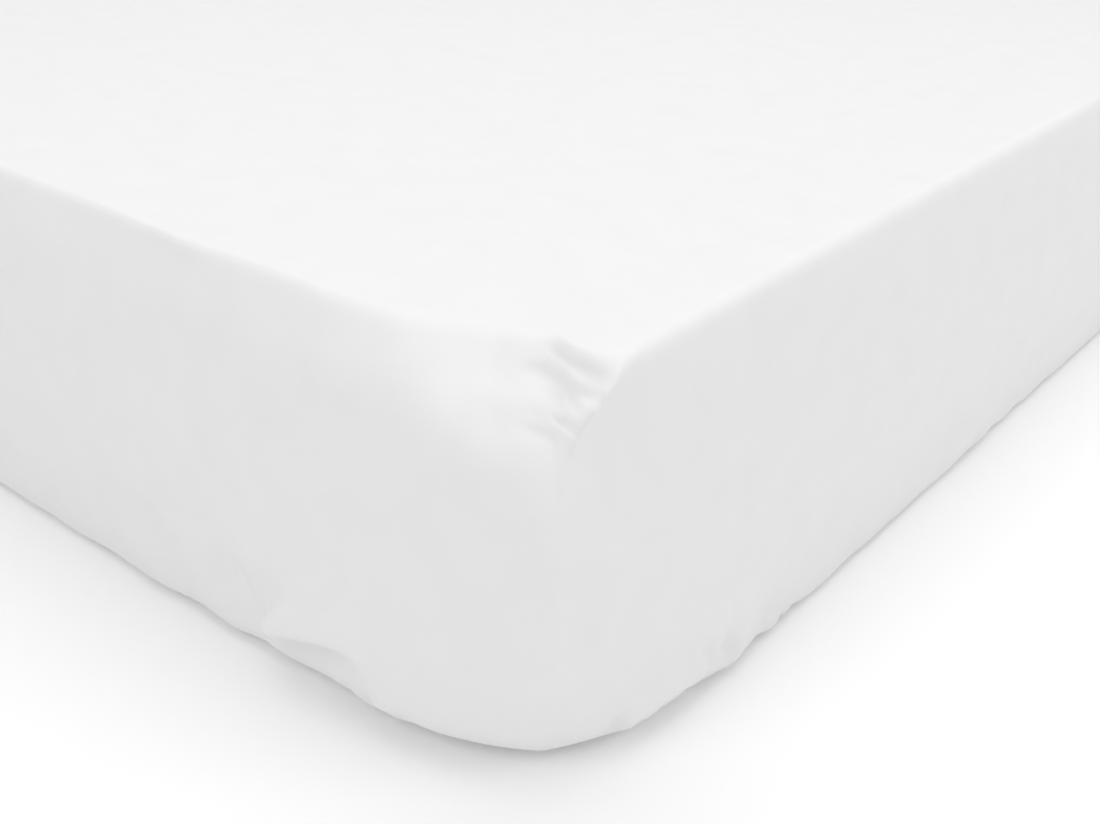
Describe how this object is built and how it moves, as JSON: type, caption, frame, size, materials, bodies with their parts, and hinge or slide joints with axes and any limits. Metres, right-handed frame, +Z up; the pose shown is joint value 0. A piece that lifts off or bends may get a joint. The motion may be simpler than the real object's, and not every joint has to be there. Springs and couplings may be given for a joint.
{
  "type": "fitted sheet on a mattress",
  "caption": "White cotton fitted sheet pulled over a plain double mattress, its corners sewn and its elastic hem drawn under, with puckers at the corner.",
  "frame": {"origin": "middle of the bed's footprint, on the surface that it lies on", "axes": "+Y runs along the bed towards the head, +X to the right seen from the foot, +Z up"},
  "size_m": [1.4246, 2.0325, 0.2528],
  "materials": {
    "cotton": "matte, plain woven, white",
    "ticking": "matte, plain woven, off-white"
  },
  "bodies": {
    "root": {"fitted_sheet": "cotton", "mattress": "ticking"}
  },
  "joints": []
}
